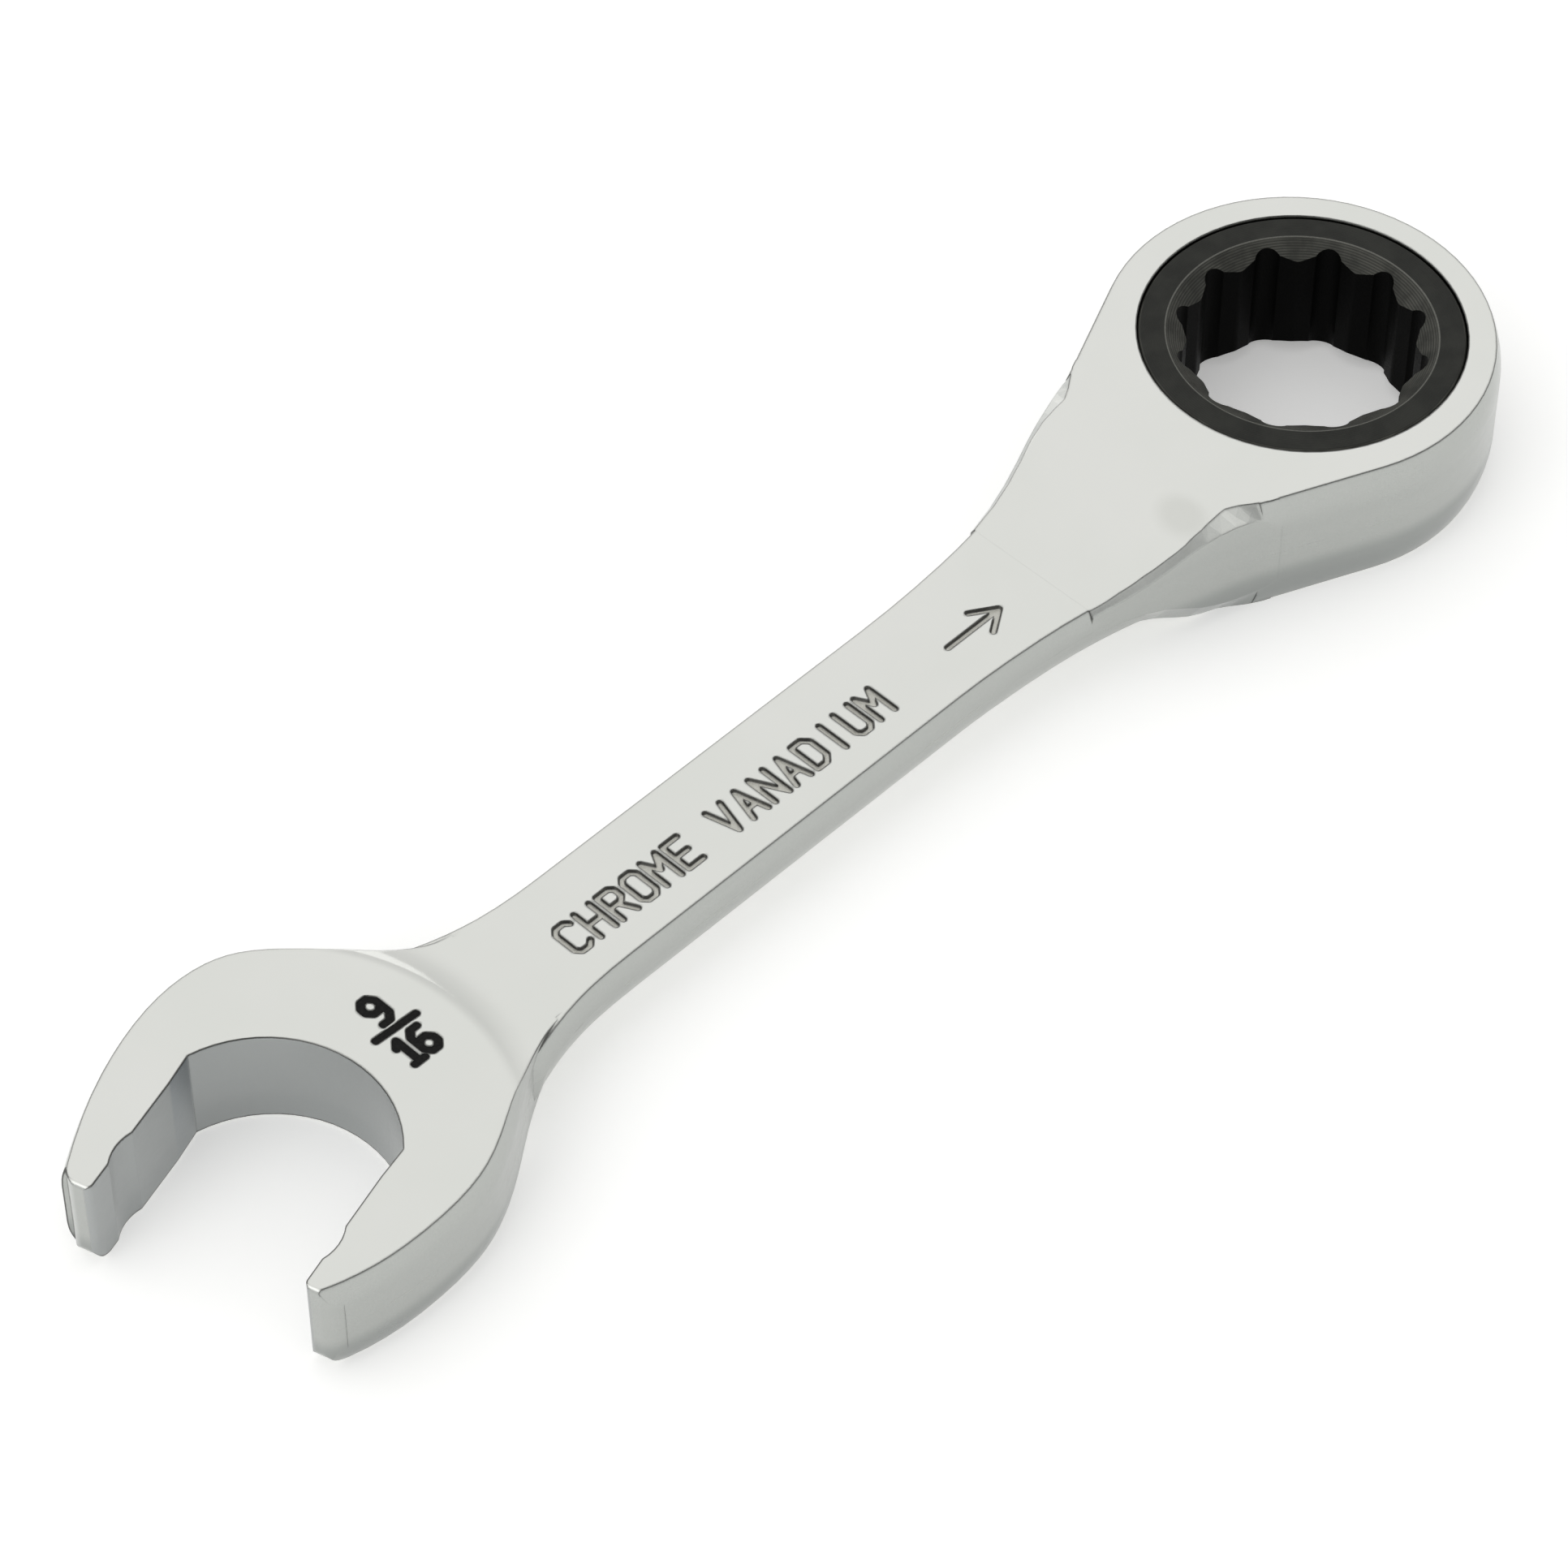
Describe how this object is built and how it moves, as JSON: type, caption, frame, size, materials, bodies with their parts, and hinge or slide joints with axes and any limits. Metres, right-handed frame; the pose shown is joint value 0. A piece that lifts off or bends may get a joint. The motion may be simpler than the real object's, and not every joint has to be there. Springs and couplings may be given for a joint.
{
  "type": "ratcheting combination wrench",
  "caption": "Short combination wrench: an open jaw at one end and a ratcheting twelve-point ring at the other, with a thin polished shank between.",
  "frame": {"origin": "on the axis of the ring drive, half way through the thickness", "axes": "+Z along the drive axis out of the marked face, +X along the handle towards the open jaw"},
  "size_m": [0.1141, 0.0264, 0.0094],
  "materials": {
    "chrome_steel": "bright chrome over polished forged steel, satin in the jaw",
    "black_steel": "matt black phosphate over turned steel",
    "spring_steel": "bright drawn wire",
    "black_enamel": "black enamel"
  },
  "bodies": {
    "body": {"wrench_body": "chrome_steel", "retaining_clip": "spring_steel", "mark_fill_nine": "black_enamel", "mark_fill_bar": "black_enamel", "mark_fill_one": "black_enamel", "mark_fill_six": "black_enamel"},
    "ring": {"ring_gear": "black_steel"},
    "pawl": {"pawl": "black_steel", "pawl_spring": "spring_steel"}
  },
  "joints": [
    {"name": "ring_gear_spin", "type": "hinge", "parent": "body", "child": "ring", "pos_m": [0, 0, 0], "axis": [0, 0, 1], "continuous": true},
    {"name": "pawl_slide", "type": "slide", "parent": "body", "child": "pawl", "axis": [-0.5446, 0.8387, 0], "range_m": [-0.0004, 0], "stiffness_N_per_m": 200, "springref_m": 0.005, "deforming": ["pawl_spring"]}
  ]
}
